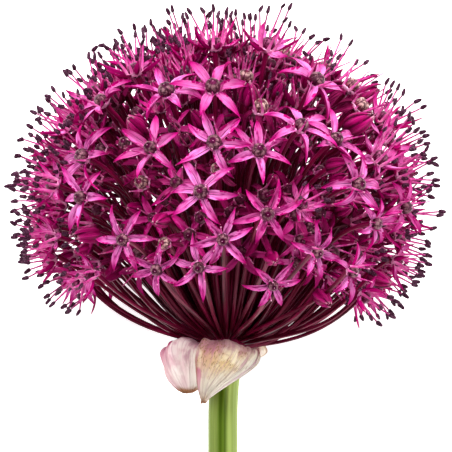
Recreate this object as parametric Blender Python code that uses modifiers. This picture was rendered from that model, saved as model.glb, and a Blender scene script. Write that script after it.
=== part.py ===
"""Allium flower head, cut on a short stem and lying on its side.

The flower is modelled upright in its own frame, with the middle of its umbel at
the origin, its stem along -Z and its front towards -Y.  An empty lays it down:
the umbel rests on its lowest florets, and the stem on the rim of its cut end.

The whole umbel has about 150 florets.  Those that are sub-parts here are the
ones whose tepals and pedicels stay clear of each other.
"""

import math

import bmesh
import bpy
from mathutils import Matrix, Vector
from mathutils.bvhtree import BVHTree

MM = 0.001

# Driving dimensions, in metres.
LAYER_RADIUS = 50.0 * MM       # middle of the umbel to the ovaries
ROOT_DROP = 35.7 * MM          # middle of the umbel down to the receptacle
UMBEL_HEIGHT = 52.0 * MM       # middle of the umbel above the surface
STEM_RADIUS = 4.0 * MM
STEM_LENGTH = 75 * MM          # receptacle to cut end
STEM_SWAY = 0.9 * MM           # how far it bends to the left under the receptacle
SWAY_LENGTH = 20 * MM
DOME_RADIUS = 5.6 * MM         # the receptacle
PEDICEL_RADIUS = 0.55 * MM
GAP = 0.3 * MM                 # between neighbouring sub-parts
SURFACE_GAP = 0.08 * MM        # under the lowest tips

OVARY_RADIUS = 2.0 * MM
HUB_RADIUS = 1.7 * MM          # where the six tepals meet
HUB_DROP = 1.5 * MM            # the hub below the middle of the ovary
TEPAL_THICKNESS = 0.45 * MM
STAMEN_LENGTH = 10.0 * MM
STAMEN_LEAN = 20               # degrees from the floret's axis
STAMEN_OUT = 1.0 * MM          # its foot, in the side of the ovary
STAMEN_DROP = 0.8 * MM
ANTHER_LENGTH = 2.0 * MM
ANTHER_RADIUS = 0.6 * MM
FILAMENT_RADIUS = 0.3 * MM
BUD_RADIUS = 2.9 * MM
BUD_LENGTH = 8.0 * MM

PEDICEL_POINTS = 5
STEM_SIDES = 20
LOBE_ACROSS = 6                # cells of the sheet that a lobe is bent from
LOBE_ALONG = 5
SPATHE_THICKNESS = 0.5 * MM

SPIRAL_COUNT = 175             # florets of an umbel that nothing was placed in by hand
SPIRAL_CLEARANCE = 11.5 * MM   # from a spiral floret to one placed by hand
LOWEST_POLAR = 109             # degrees from the top to the last florets, at the front
LOWER_AT_SIDES = 11            # how much further down they reach at the sides
LOWER_AT_RIGHT = 2             # and at the right more than at the left
TOP_FLATTENED = 0.025          # how much nearer the middle the top florets stand,
LOW_DRAWN_IN = 0.45            # and the lowest
SIDES_OUT = 0.04               # how much further out those at the sides stand,
UPPER_RIGHT_OUT = 0.12         # and those between the top and the right
LOW_BEND = 1.6                 # how far the lowest pedicels turn up into their florets
GOLDEN_ANGLE = math.pi * (3 - math.sqrt(5))
GOLDEN_FRACTION = (math.sqrt(5) - 1) / 2
DEEPEST = 4.0 * MM             # how far a spiral floret may sit under the layer
MAX_FLORETS = 56
NODE_SPACING = 11.0 * MM       # between florets that are sub-parts
SUNK = {"star": 0.0, "open": 0.0, "bud": 4.0 * MM, "spent": 5.0 * MM}
LOOK_UP = 0.6                  # how far an open floret at the side turns up or down
UMBEL_ALONG = 21.7 * MM        # these two put the whole flower's middle over the origin
UMBEL_ACROSS = 0.4 * MM

# Rows of a tepal from its foot to its tip: reach, width and height over the hub.
# A young floret is cupped, an older one spreads into a flat star, and a spent one
# has folded its tepals back along its pedicel.
TEPAL_ROWS = {
    "open": [(4.5 * MM, 3.0 * MM, 1.8 * MM), (8.2 * MM, 0.35 * MM, 6.0 * MM)],
    "star": [(5.2 * MM, 3.0 * MM, 1.0 * MM), (10.7 * MM, 0.35 * MM, 0.2 * MM)],
    "spent": [(3.6 * MM, 2.2 * MM, -1.6 * MM), (4.2 * MM, 0.35 * MM, -5.6 * MM)],
}

# Florets placed by hand: longitude and latitude in degrees (0, 0 is the front),
# the turn of the first tepal, and the kind of floret.
PLACED = [
    (-26, 22, 24, "star"), (-6, 46, 9, "star"), (11, 21, 30, "star"),
    (27, 29, 27, "star"), (43, 46, 42, "star"), (45, 10, -3, "star"),
    (-8, 8, 48, "star"), (13, 1, 10, "star"), (-1, -7, 8, "star"),
    (-9, -16, 48, "star"), (17, -23, 10, "star"), (30, -11, 45, "star"),
    (53, -2, 20, "star"), (71, 3, 0, "star"), (-51, 6, 2, "star"),
    (-34, -7, 5, "star"), (-27, 44, 10, "star"), (-60, 39, 20, "star"),
    (-4, 24, 40, "star"), (45, -17, 30, "star"), (39, 24, 20, "star"),
    (-24, -17, 20, "star"), (-54, 19, 0, "star"), (-55, -19, 0, "open"),
    (62, -27, 10, "open"), (-69, 10, 15, "open"), (-15, 76, 0, "open"),
    (42, 70, 20, "open"), (-59, 54, 40, "open"), (46, -31, 0, "bud"),
    (13, 58, 0, "spent"), (16, 41, 0, "spent"), (-22, -9, 0, "spent"),
    (-31, 12, 0, "spent"), (-3, 17, 0, "spent"), (-22, -1, 0, "bud"),
    (-51, -6, 0, "bud"), (11, 45, 0, "bud"), (-37, 31, 0, "bud"),
    (40, 17, 0, "bud"), (16, -14, 0, "bud"), (71, -21, 0, "bud"),
]


class Floret:
    """One floret: where it stands on the umbel, how it is turned, and its kind."""

    def __init__(self, number, direction, depth, turn, kind):
        self.number = number
        self.name = f"{'bud' if kind == 'bud' else 'floret'}_{number:03d}"
        self.direction = direction
        self.depth = depth
        self.turn = math.radians(turn)
        self.kind = kind


def tilt_of_stem():
    """The stem's slope in radians, with its cut rim and the umbel on one surface."""
    along = ROOT_DROP + STEM_LENGTH
    return math.asin(UMBEL_HEIGHT / math.hypot(along, STEM_RADIUS)) - math.atan2(
        STEM_RADIUS, along
    )


def lying():
    """The turn that lays the upright flower down, its front and top upwards."""
    return Matrix.Rotation(tilt_of_stem() - math.pi / 2, 3, "X")


def placed_direction(longitude, latitude):
    """A unit direction from the umbel's middle; longitude 0 is the front."""
    lon, lat = math.radians(longitude), math.radians(latitude)
    return Vector((math.cos(lat) * math.sin(lon), -math.cos(lat) * math.cos(lon), math.sin(lat)))


def lowest_height(around):
    """How low the florets reach at an angle round the stem, as a height from 1 to -1."""
    to_right = math.sin(around)
    lower = to_right**2 * (LOWER_AT_SIDES + LOWER_AT_RIGHT * to_right)
    return math.cos(math.radians(LOWEST_POLAR + lower))


def spiral_direction(k):
    """The k-th of the directions spread evenly from the top to the lowest florets."""
    angle = k * GOLDEN_ANGLE
    height = 1 - (1 - lowest_height(angle)) * (k + 0.5) / SPIRAL_COUNT
    ring = math.sqrt(1 - height * height)
    return Vector((ring * math.sin(angle), -ring * math.cos(angle), height))


def spiral_kind(k):
    """Now and then a bud or a spent floret; the others are open, with stamens."""
    if k % 9 == 4:
        return "bud"
    return "spent" if k % 13 == 6 else "open"


def layout():
    """Every floret of the umbel: first those placed by hand, then the spiral ones."""
    florets = []
    for longitude, latitude, turn, kind in PLACED:
        direction = placed_direction(longitude, latitude)
        florets.append(Floret(len(florets), direction, SUNK[kind], turn, kind))
    by_hand = [floret.direction for floret in florets]
    for k in range(SPIRAL_COUNT):
        direction = spiral_direction(k)
        nearest = min((direction - other).length for other in by_hand)
        if nearest * LAYER_RADIUS < SPIRAL_CLEARANCE:
            continue
        share = k * GOLDEN_FRACTION % 1
        florets.append(
            Floret(len(florets), direction, share * DEEPEST, share * 60, spiral_kind(k))
        )
    return florets


def facing(floret):
    """The way a head looks: outwards, and at the sides an open one more up or down."""
    direction = floret.direction
    if floret.kind != "open":
        return direction.copy()
    lift = LOOK_UP * abs(direction.x) * direction.z
    return (direction + Vector((0, 0, lift))).normalized()


def reach_below(kind, axis_height):
    """How far a head reaches under the middle of its ovary, its axis pointing down."""
    level = math.sqrt(1 - axis_height * axis_height)
    if kind == "bud":
        return BUD_LENGTH / 2
    tepal_out, _, tepal_up = TEPAL_ROWS[kind][-1]
    reach = tepal_out * level + (tepal_up - HUB_DROP) * -axis_height
    if kind == "open":
        lean = math.radians(STAMEN_LEAN)
        tip = STAMEN_LENGTH + ANTHER_LENGTH
        up = tip * math.cos(lean) - STAMEN_DROP
        out = STAMEN_OUT + tip * math.sin(lean)
        reach = max(reach, up * -axis_height + (out + FILAMENT_RADIUS) * level)
    return reach


def layer_radius(direction):
    """How far from the umbel's middle the outer layer stands in a direction."""
    right, up = direction.x, direction.z
    wider = SIDES_OUT * right**2 + UPPER_RIGHT_OUT * max(0.0, right) * max(0.0, up)
    flattened = TOP_FLATTENED * max(0.0, up) ** 3
    drawn_in = LOW_DRAWN_IN * max(0.0, -up - 0.25 - 0.08 * right)
    return LAYER_RADIUS * (1 + wider - flattened - drawn_in)


def stand(floret):
    """The middle of a floret's ovary and its axis, clear of the surface below."""
    axis = facing(floret)
    down = (lying() @ floret.direction).z
    radius = layer_radius(floret.direction) - floret.depth
    if down < 0:
        reach = reach_below(floret.kind, (lying() @ axis).z)
        radius = min(radius, (UMBEL_HEIGHT - SURFACE_GAP - reach) / -down)
    return floret.direction * radius, axis


def floret_frame(floret, centre, axis):
    """The matrix that carries a head, modelled along +Z, to its place."""
    east = Vector((0, 0, 1)).cross(axis)
    if east.length < 1e-6:
        east = Vector((1, 0, 0))
    east.normalize()
    north = axis.cross(east)
    turned = Matrix((east, north, axis)).transposed() @ Matrix.Rotation(floret.turn, 3, "Z")
    return Matrix.Translation(centre) @ turned.to_4x4()


def dome_normal(direction):
    """The direction in which a floret's pedicel leaves the dome.

    The umbel's directions are spread evenly over the dome.  The lowest pedicels
    rise a little over the spathe, and leave level at the sides.
    """
    around = math.atan2(direction.x, -direction.y)
    share = (1 - direction.z) / (1 - lowest_height(around))
    to_right = math.sin(around)
    widest = math.radians(66 + to_right**4 * (22 + 4 * to_right))
    polar = math.acos(max(-1.0, 1 - share * (1 - math.cos(widest))))
    ring = math.sin(polar)
    return Vector((ring * math.sin(around), -ring * math.cos(around), math.cos(polar)))


def bezier(points, t):
    """A point on the cubic curve of four control points."""
    a, b, c, d = points
    s = 1 - t
    return a * s**3 + b * (3 * s * s * t) + c * (3 * s * t * t) + d * t**3


def pedicel_route(floret, centre, axis, count):
    """Points along a pedicel, from just off the dome up into its floret's ovary."""
    root = Vector((0, 0, -ROOT_DROP))
    normal = dome_normal(floret.direction)
    foot = root + normal * (DOME_RADIUS + GAP)
    head = centre - axis * (HUB_DROP * 0.5)
    span = (head - foot).length
    lowness = min(1.0, max(0.0, -2.4 * floret.direction.z))
    arrival = (axis + Vector((0, 0, LOW_BEND * lowness))).normalized()
    control = [foot, foot + normal * span * 0.42, head - arrival * span * 0.34, head]
    return [bezier(control, k / (count - 1)) for k in range(count)]


def new_object(name, mesh):
    """An object in the open scene, so that its modifiers can be read."""
    made = bpy.data.objects.new(name, mesh)
    bpy.context.scene.collection.objects.link(made)
    return made


def as_mesh(made):
    """The mesh of an object with its modifiers applied; the object goes away."""
    graph = bpy.context.evaluated_depsgraph_get()
    mesh = bpy.data.meshes.new_from_object(made.evaluated_get(graph))
    bpy.data.objects.remove(made)
    return mesh


def united(meshes):
    """One closed mesh from closed meshes that run into each other."""
    first = new_object("union", meshes[0])
    others = [new_object("union_part", mesh) for mesh in meshes[1:]]
    for other in others:
        modifier = first.modifiers.new("join", "BOOLEAN")
        modifier.operation = "UNION"
        modifier.object = other
    mesh = as_mesh(first)
    for other in others:
        bpy.data.objects.remove(other)
    return mesh


def mesh_from(bm, name):
    mesh = bpy.data.meshes.new(name)
    bm.to_mesh(mesh)
    bm.free()
    return mesh


def tube(points, radius):
    """A closed round bar along points."""
    curve = bpy.data.curves.new("tube", "CURVE")
    curve.dimensions = "3D"
    curve.bevel_depth = radius
    curve.bevel_resolution = 1
    curve.use_fill_caps = True
    spline = curve.splines.new("POLY")
    spline.points.add(len(points) - 1)
    for place, point in zip(spline.points, points):
        place.co = (*point, 1)
    mesh = as_mesh(new_object("tube", curve))
    bpy.data.curves.remove(curve)
    bm = bmesh.new()
    bm.from_mesh(mesh)
    bmesh.ops.remove_doubles(bm, verts=bm.verts, dist=0.01 * MM)
    return mesh_from(bm, "tube")


def ball(radius, stretch=1.0, around=6, rings=4):
    """An ovary or a bud: a round body, longer along its axis by stretch."""
    bm = bmesh.new()
    bmesh.ops.create_uvsphere(bm, u_segments=around, v_segments=rings, radius=radius)
    bmesh.ops.scale(bm, vec=(1, 1, stretch), verts=bm.verts)
    return mesh_from(bm, "ball")


def tepal_star(rows):
    """Six tepals round a hub, as one sheet given its thickness."""
    bm = bmesh.new()
    bmesh.ops.create_circle(bm, cap_ends=True, segments=6, radius=HUB_RADIUS)
    for edge in list(bm.edges):
        out = (edge.verts[0].co + edge.verts[1].co).normalized()
        side = (edge.verts[1].co - edge.verts[0].co).normalized()
        row = edge
        for reach, width, lift in rows:
            grown = bmesh.ops.extrude_edge_only(bm, edges=[row])["geom"]
            row = next(part for part in grown if isinstance(part, bmesh.types.BMEdge)
                       and all(vert in grown for vert in part.verts))
            for vert in row.verts:
                to_side = 1 if vert.co.dot(side) > 0 else -1
                vert.co = out * reach + side * (to_side * width / 2) + Vector((0, 0, lift))
    bmesh.ops.translate(bm, vec=(0, 0, -HUB_DROP), verts=bm.verts)
    bmesh.ops.recalc_face_normals(bm, faces=bm.faces)
    sheet = new_object("star", mesh_from(bm, "star"))
    shell = sheet.modifiers.new("thickness", "SOLIDIFY")
    shell.thickness = TEPAL_THICKNESS
    shell.offset = 0
    return as_mesh(sheet)


def stamen(index):
    """A filament that leans out from the hub and widens into its anther."""
    bm = bmesh.new()
    bmesh.ops.create_cone(
        bm, cap_ends=True, segments=3, radius1=FILAMENT_RADIUS, radius2=FILAMENT_RADIUS,
        depth=STAMEN_LENGTH, matrix=Matrix.Translation((0, 0, STAMEN_LENGTH / 2)),
    )
    bm.faces.ensure_lookup_table()
    top = max(bm.faces, key=lambda face: face.calc_center_median().z)
    for width in (ANTHER_RADIUS, FILAMENT_RADIUS):
        grown = bmesh.ops.extrude_face_region(bm, geom=[top])["geom"]
        bmesh.ops.delete(bm, geom=[top], context="FACES_ONLY")
        top = next(part for part in grown if isinstance(part, bmesh.types.BMFace))
        for vert in top.verts:
            height = vert.co.z + ANTHER_LENGTH / 2
            vert.co = vert.co.xy.normalized().to_3d() * width
            vert.co.z = height
    lean = Matrix.Rotation(math.radians(STAMEN_LEAN), 4, "Y")
    foot = Matrix.Translation((STAMEN_OUT, 0, -STAMEN_DROP))
    turn = Matrix.Rotation(math.radians(60 * index + 30), 4, "Z")
    bm.transform(turn @ foot @ lean)
    return mesh_from(bm, "stamen")


def floret_head(kind):
    """The head of a floret along +Z, with the middle of its ovary at the origin."""
    if kind == "bud":
        return ball(BUD_RADIUS, BUD_LENGTH / BUD_RADIUS / 2)
    pieces = [ball(OVARY_RADIUS), tepal_star(TEPAL_ROWS[kind])]
    if kind == "open":
        pieces += [stamen(index) for index in range(6)]
    return united(pieces)


def floret_mesh(floret, heads):
    """A floret in its place on the upright flower: its head and its pedicel."""
    centre, axis = stand(floret)
    head = heads[floret.kind].copy()
    head.transform(floret_frame(floret, centre, axis))
    route = pedicel_route(floret, centre, axis, PEDICEL_POINTS)
    return united([head, tube(route, PEDICEL_RADIUS)])


def swollen_tree(mesh):
    """The surface grown by half the gap, so that two that clear are a gap apart."""
    return BVHTree.FromPolygons(
        [vert.co + vert.normal * (GAP / 2) for vert in mesh.vertices],
        [face.vertices for face in mesh.polygons],
    )


def florets_that_clear(lobes):
    """The florets that get a sub-part: well apart, and clear of each other and the lobes."""
    heads = {kind: floret_head(kind) for kind in ("star", "open", "spent", "bud")}
    taken = [swollen_tree(lobe) for lobe in lobes]
    kept = []
    for floret in sorted(layout(), key=first_come):
        centre, _ = stand(floret)
        if any((centre - other).length < NODE_SPACING for other, _ in kept):
            continue
        mesh = floret_mesh(floret, heads)
        tree = swollen_tree(mesh)
        if any(tree.overlap(other) for other in taken):
            continue
        mesh.name = floret.name
        taken.append(tree)
        kept.append((centre, mesh))
        if len(kept) == MAX_FLORETS:
            break
    return [mesh for _, mesh in kept]


def first_come(floret):
    """Florets at the surface come first, then those placed by hand, then the rest."""
    centre, _ = stand(floret)
    rests = centre.length < layer_radius(floret.direction) - floret.depth - GAP
    return (not rests, floret.number)


def stem():
    """The stem and the dome at its top, turned from one profile."""
    profile = [
        (0, -STEM_LENGTH), (STEM_RADIUS, -STEM_LENGTH), (STEM_RADIUS, -SWAY_LENGTH),
        (STEM_RADIUS, -9 * MM),
        (4.6 * MM, -4.5 * MM), (5.4 * MM, -1.2 * MM), (DOME_RADIUS, 0),
    ]
    for degrees in (22.5, 45, 67.5, 90):
        angle = math.radians(degrees)
        profile.append((DOME_RADIUS * math.cos(angle), DOME_RADIUS * math.sin(angle)))
    bm = bmesh.new()
    verts = [bm.verts.new((max(radius, 0), 0, height)) for radius, height in reversed(profile)]
    for above, below in zip(verts, verts[1:]):
        bm.edges.new((above, below))
    turned = new_object("stem", mesh_from(bm, "stem"))
    screw = turned.modifiers.new("turn", "SCREW")
    screw.steps = screw.render_steps = STEM_SIDES
    screw.use_merge_vertices = True
    screw.merge_threshold = 0.01 * MM
    mesh = as_mesh(turned)
    for vert in mesh.vertices:
        vert.co.x -= sway(-vert.co.z)
    mesh.transform(Matrix.Translation((0, 0, -ROOT_DROP)))
    return mesh


def sway(below):
    """How far the stem stands to the left at a depth below the receptacle."""
    share = min(1.0, max(0.0, below / SWAY_LENGTH))
    return STEM_SWAY * share * share * (3 - 2 * share)


def spathe_profile(angle, along):
    """The spathe's surface, from its foot under the dome over its crest to its tips.

    It stands out furthest at the left and has its highest crest there.
    """
    to_left = math.cos(angle + math.radians(80))
    to_front_left = max(0.0, math.cos(angle + math.radians(68))) ** 3
    crest_out = (15.0 + 4.2 * to_left) * MM
    crest_up = (1.0 + 7.5 * to_front_left) * MM
    shoulder_up = (2.5 * max(0.0, to_left) - 4.0) * MM
    tip_out = (10.5 + 1.5 * to_left) * MM
    profile = [
        Vector((5.9 * MM, -1.9 * MM)),
        Vector((crest_out * 0.9, crest_up)),
        Vector((crest_out * 1.15, shoulder_up)),
        Vector((tip_out, -16.5 * MM)),
    ]
    radius, height = bezier(profile, along)
    return Vector((radius * math.sin(angle), -radius * math.cos(angle), height - ROOT_DROP))


class Lobe:
    """A lobe of the spathe: a piece of its surface, lifted off it by its lift."""

    def __init__(self, middle, half_width, skew, start, end, lift, fullness):
        self.middle = middle          # degrees round the stem, as is the half width
        self.half_width = half_width
        self.skew = skew              # turns the tip round the stem
        self.start = start            # where it begins and ends along the profile
        self.end = end
        self.lift = lift
        self.fullness = fullness      # how far along it stays broad

    def point(self, across, along):
        """A point of the lobe: across from -1 to 1, along from its foot to its tip."""
        taper = (1 - along**self.fullness) ** (1.4 / self.fullness)
        half = self.half_width * max(0.05, taper)
        angle = math.radians(self.middle + self.skew * along**2 + half * across)
        down = self.start + (self.end - self.start) * along
        step = 0.01
        place = spathe_profile(angle, down)
        forward = spathe_profile(angle, down + step) - place
        sideways = spathe_profile(angle + step, down) - place
        return place + forward.cross(sideways).normalized() * self.lift


LOBES = {
    "spathe_left": Lobe(-60, 52, 11, 0.0, 0.915, 0.0, 2.8),
    "spathe_right": Lobe(20, 53, -48, 0.045, 0.96, 1.2 * MM, 1.6),
    "spathe_back": Lobe(166, 76, -6, 0.0, 0.55, 0.0, 2.4),
}


def lobe_mesh(lobe):
    """A lobe as a sheet bent to its shape and given the thickness of paper."""
    bm = bmesh.new()
    bmesh.ops.create_grid(bm, x_segments=LOBE_ACROSS, y_segments=LOBE_ALONG, size=1)
    for vert in bm.verts:
        vert.co = lobe.point(vert.co.x, (vert.co.y + 1) / 2)
    sheet = new_object("lobe", mesh_from(bm, "lobe"))
    shell = sheet.modifiers.new("thickness", "SOLIDIFY")
    shell.thickness = SPATHE_THICKNESS
    shell.offset = 0
    return as_mesh(sheet)


def material(name, colour, roughness):
    made = bpy.data.materials.new(name)
    made.use_nodes = True
    surface = made.node_tree.nodes["Principled BSDF"]
    surface.inputs["Base Color"].default_value = (*colour, 1)
    surface.inputs["Roughness"].default_value = roughness
    surface.inputs["Metallic"].default_value = 0
    return made


def add_part(collection, parent, name, mesh, finish):
    """A named sub-part, laid down with its parent."""
    mesh.materials.clear()
    mesh.materials.append(finish)
    mesh.shade_smooth()
    mesh.set_sharp_from_angle(angle=math.radians(40))
    part = bpy.data.objects.new(name, mesh)
    part.parent = parent
    collection.objects.link(part)
    return part


def build():
    for old in list(bpy.data.objects):
        bpy.data.objects.remove(old, do_unlink=True)
    lobes = {name: lobe_mesh(lobe) for name, lobe in LOBES.items()}
    meshes = florets_that_clear(lobes.values())
    collection = bpy.data.collections.new("allium_flower_head")
    bpy.context.scene.collection.children.link(collection)
    laid = bpy.data.objects.new("laid_down", None)
    laid.location = (UMBEL_ACROSS, UMBEL_ALONG, UMBEL_HEIGHT)
    laid.rotation_euler = lying().to_euler()
    collection.objects.link(laid)

    green = material("stem_green", (0.22, 0.33, 0.07), 0.5)
    paper = material("spathe_paper", (0.80, 0.62, 0.50), 0.75)
    magenta = material("floret_magenta", (0.50, 0.04, 0.26), 0.55)
    bud_magenta = material("bud_magenta", (0.38, 0.02, 0.17), 0.5)

    add_part(collection, laid, "flower_stem", stem(), green)
    for name, lobe in lobes.items():
        add_part(collection, laid, name, lobe, paper)
    for mesh in meshes:
        finish = bud_magenta if mesh.name.startswith("bud") else magenta
        add_part(collection, laid, mesh.name, mesh, finish)


build()
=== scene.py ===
"""The looks of an allium flower head that lies on its side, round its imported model.

Each node of the model is replaced by a finer piece in the same place.  The florets
that the model has no room for stand among its own, on the same layout, in bands.

Like the model, the flower is worked out upright, with the middle of its umbel at the
origin, its stem along -Z and its front towards -Y, and is then laid down.  A floret's
head is worked out along +Z, with the middle of its ovary at the origin.
"""

import random
from dataclasses import dataclass
from functools import cached_property
from math import acos, asin, atan2, ceil, cos, exp, hypot, pi, radians, sin, sqrt

import bpy
from mathutils import Matrix, Vector, noise


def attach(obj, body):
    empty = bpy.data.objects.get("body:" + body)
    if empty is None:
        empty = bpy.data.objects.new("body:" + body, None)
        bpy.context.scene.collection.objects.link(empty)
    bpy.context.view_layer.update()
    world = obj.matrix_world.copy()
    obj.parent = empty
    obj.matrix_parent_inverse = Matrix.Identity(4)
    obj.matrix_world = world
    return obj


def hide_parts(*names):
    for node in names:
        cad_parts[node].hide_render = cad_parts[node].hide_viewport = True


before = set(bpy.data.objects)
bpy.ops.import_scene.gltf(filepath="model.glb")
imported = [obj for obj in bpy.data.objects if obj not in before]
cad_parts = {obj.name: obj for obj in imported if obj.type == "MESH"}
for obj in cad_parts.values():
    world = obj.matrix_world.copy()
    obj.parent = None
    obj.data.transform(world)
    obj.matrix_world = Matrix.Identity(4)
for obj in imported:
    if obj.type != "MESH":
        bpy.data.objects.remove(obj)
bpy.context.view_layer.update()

SCENE = bpy.context.scene
MM = 0.001
UP = Vector((0, 0, 1))

# Driving dimensions of the model, in metres and degrees, repeated from its source.
LAYER_RADIUS = 50 * MM  # middle of the umbel to the ovaries
ROOT_DROP = 35.7 * MM  # middle of the umbel down to the receptacle
UMBEL_HEIGHT = 52 * MM  # middle of the umbel above the surface
STEM_RADIUS = 4 * MM
STEM_LENGTH = 75 * MM
STEM_SWAY = 0.9 * MM  # how far it bends to the left under the receptacle
SWAY_LENGTH = 20 * MM
DOME_RADIUS = 5.6 * MM
HUB_DROP = 1.5 * MM  # where the tepals meet, below the middle of the ovary
STAMEN_LENGTH = 10 * MM
STAMEN_LEAN = 20
ANTHER_LENGTH = 2 * MM
FILAMENT_RADIUS = 0.3 * MM
STAMEN_OUT = 1 * MM
STAMEN_DROP = 0.8 * MM
BUD_LENGTH = 8 * MM
SURFACE_GAP = 0.08 * MM
SPIRAL_COUNT = 175
SPIRAL_CLEARANCE = 11.5 * MM  # from a spiral floret to a listed one
LOWEST_POLAR = 109  # degrees from the top to the last florets, at the front
LOWER_AT_SIDES = 11
LOWER_AT_RIGHT = 2
TOP_FLATTENED = 0.025
LOW_DRAWN_IN = 0.45
SIDES_OUT = 0.04
UPPER_RIGHT_OUT = 0.12
LOW_BEND = 1.6  # how far the lowest pedicels turn up into their florets
GOLDEN_ANGLE = pi * (3 - sqrt(5))
GOLDEN_FRACTION = (sqrt(5) - 1) / 2
DEEPEST = 4 * MM  # how far a spiral floret may sit under the layer
SUNK = {"star": 0, "open": 0, "bud": 4 * MM, "spent": 5 * MM}
LOOK_UP = 0.6  # how far an open floret at the side turns up or down
UMBEL_ALONG = 21.7 * MM  # these two centre the whole flower on the origin
UMBEL_ACROSS = 0.4 * MM

# Florets under the outer ones, which only the looks have.
UNDER_COUNT = 400
UNDER_CLEARANCE = 4 * MM  # from an outer floret, across the layer
UNDER_DEPTH = 6 * MM
UNDER_SPREAD = 8 * MM
DEEPER_IN_FRONT = 5 * MM
UNDER_KINDS = ("open", "spent", "bud", "open", "spent")
OPEN_AT_EDGE = 0.34  # the share of open ones that is added round the edge

# How far out and up the last point of a tepal lies, as in the model.
TEPAL_TIPS = {
    "open": (8.2 * MM, 6 * MM),
    "star": (10.7 * MM, 0.2 * MM),
    "spent": (4.2 * MM, -5.6 * MM),
}

# The listed florets, as in the model: longitude, latitude and turn in degrees.
PLACED = [
    ("star", [
        (-26, 22, 24), (-6, 46, 9), (11, 21, 30), (27, 29, 27), (43, 46, 42), (45, 10, -3),
        (-8, 8, 48), (13, 1, 10), (-1, -7, 8), (-9, -16, 48), (17, -23, 10), (30, -11, 45),
        (53, -2, 20), (71, 3, 0), (-51, 6, 2), (-34, -7, 5), (-27, 44, 10), (-60, 39, 20),
        (-4, 24, 40), (45, -17, 30), (39, 24, 20), (-24, -17, 20), (-54, 19, 0),
    ]),
    ("open", [
        (-55, -19, 0), (62, -27, 10), (-69, 10, 15), (-15, 76, 0), (42, 70, 20), (-59, 54, 40),
    ]),
    ("bud", [(46, -31, 0)]),
    ("spent", [(13, 58, 0), (16, 41, 0), (-22, -9, 0), (-31, 12, 0), (-3, 17, 0)]),
    ("bud", [
        (-22, -1, 0), (-51, -6, 0), (11, 45, 0), (-37, 31, 0), (40, 17, 0), (16, -14, 0),
        (71, -21, 0),
    ]),
]


# ---- helpers

def within(value, low=0, high=1):
    return min(high, max(low, value))


def round_stem(angle, out, up):
    """A point at an angle round the stem, from the front to the right."""
    return Vector((out * sin(angle), -out * cos(angle), up))


def round_axis(angle, out, up):
    """The same, round a floret's axis."""
    return Vector((out * cos(angle), out * sin(angle), up))


def turns(sides):
    """The angles of a ring's points."""
    return [2 * pi * i / sides for i in range(sides)]


def shares(count):
    """Equal steps from 0 to 1."""
    return [k / (count - 1) for k in range(count)]


def bezier(points, t):
    """A point on the cubic curve of four control points."""
    a, b, c, d = points
    s = 1 - t
    return a * s**3 + b * (3 * s * s * t) + c * (3 * s * t * t) + d * t**3


# ---- the layout

@dataclass
class Floret:
    """Where one floret stands on the umbel, its turn in degrees and its kind."""

    number: int
    direction: Vector
    depth: float
    turn: float
    kind: str
    under: bool = False

    @property
    def node(self):
        return f"{'bud' if self.kind == 'bud' else 'floret'}_{self.number:03d}"


# The slope that rests the umbel and the stem's cut rim on one surface, and the turn
# that lays the flower down.
CUT_DROP = ROOT_DROP + STEM_LENGTH
TILT = asin(UMBEL_HEIGHT / hypot(CUT_DROP, STEM_RADIUS)) - atan2(STEM_RADIUS, CUT_DROP)
LYING = Matrix.Rotation(TILT - pi / 2, 3, "X")
LAID = Matrix.Translation((UMBEL_ACROSS, UMBEL_ALONG, UMBEL_HEIGHT)) @ LYING.to_4x4()


def placed_direction(longitude, latitude):
    """A unit direction from the umbel's middle; longitude 0 is the front."""
    latitude = radians(latitude)
    return round_stem(radians(longitude), cos(latitude), sin(latitude))


def lowest_height(around):
    """How low the florets reach at an angle round the stem, as a height from 1 to -1."""
    to_right = sin(around)
    lower = to_right**2 * (LOWER_AT_SIDES + LOWER_AT_RIGHT * to_right)
    return cos(radians(LOWEST_POLAR + lower))


def spiral_direction(k, count=SPIRAL_COUNT):
    """The k-th of the directions spread evenly from the top to the lowest florets."""
    angle = k * GOLDEN_ANGLE
    height = 1 - (1 - lowest_height(angle)) * (k + 0.5) / count
    return round_stem(angle, sqrt(1 - height * height), height)


def spiral_kind(k):
    """Open, but now and then a bud or a spent floret."""
    if k % 9 == 4:
        return "bud"
    return "spent" if k % 13 == 6 else "open"


def spacing(direction, florets):
    """How far the nearest of some florets is, across the layer."""
    return LAYER_RADIUS * min((direction - other.direction).length for other in florets)


def layout():
    """The outer florets: first the listed ones, then the spiral ones."""
    florets = []
    for kind, places in PLACED:
        for longitude, latitude, turn in places:
            direction = placed_direction(longitude, latitude)
            florets.append(Floret(len(florets), direction, SUNK[kind], turn, kind))
    by_hand = florets[:]
    for k in range(SPIRAL_COUNT):
        direction = spiral_direction(k)
        if spacing(direction, by_hand) < SPIRAL_CLEARANCE:
            continue
        share = k * GOLDEN_FRACTION % 1
        kind = spiral_kind(k)
        florets.append(Floret(len(florets), direction, share * DEEPEST, share * 60, kind))
    return florets


def near_edge(direction):
    """How near the edge of the front view a direction lies, 0 to 1, but 0 low down."""
    return max(0, 1 - abs(direction.y) / 0.45) * within(1.6 + 4 * direction.z)


def under_kind(k, share, edge, to_front):
    """More open ones round the edge; those in front have shed their anthers."""
    kind = UNDER_KINDS[k % len(UNDER_KINDS)]
    if edge > 0.3 and share < OPEN_AT_EDGE:
        return "open"
    return "star" if kind == "open" and to_front > 0.55 else kind


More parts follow.
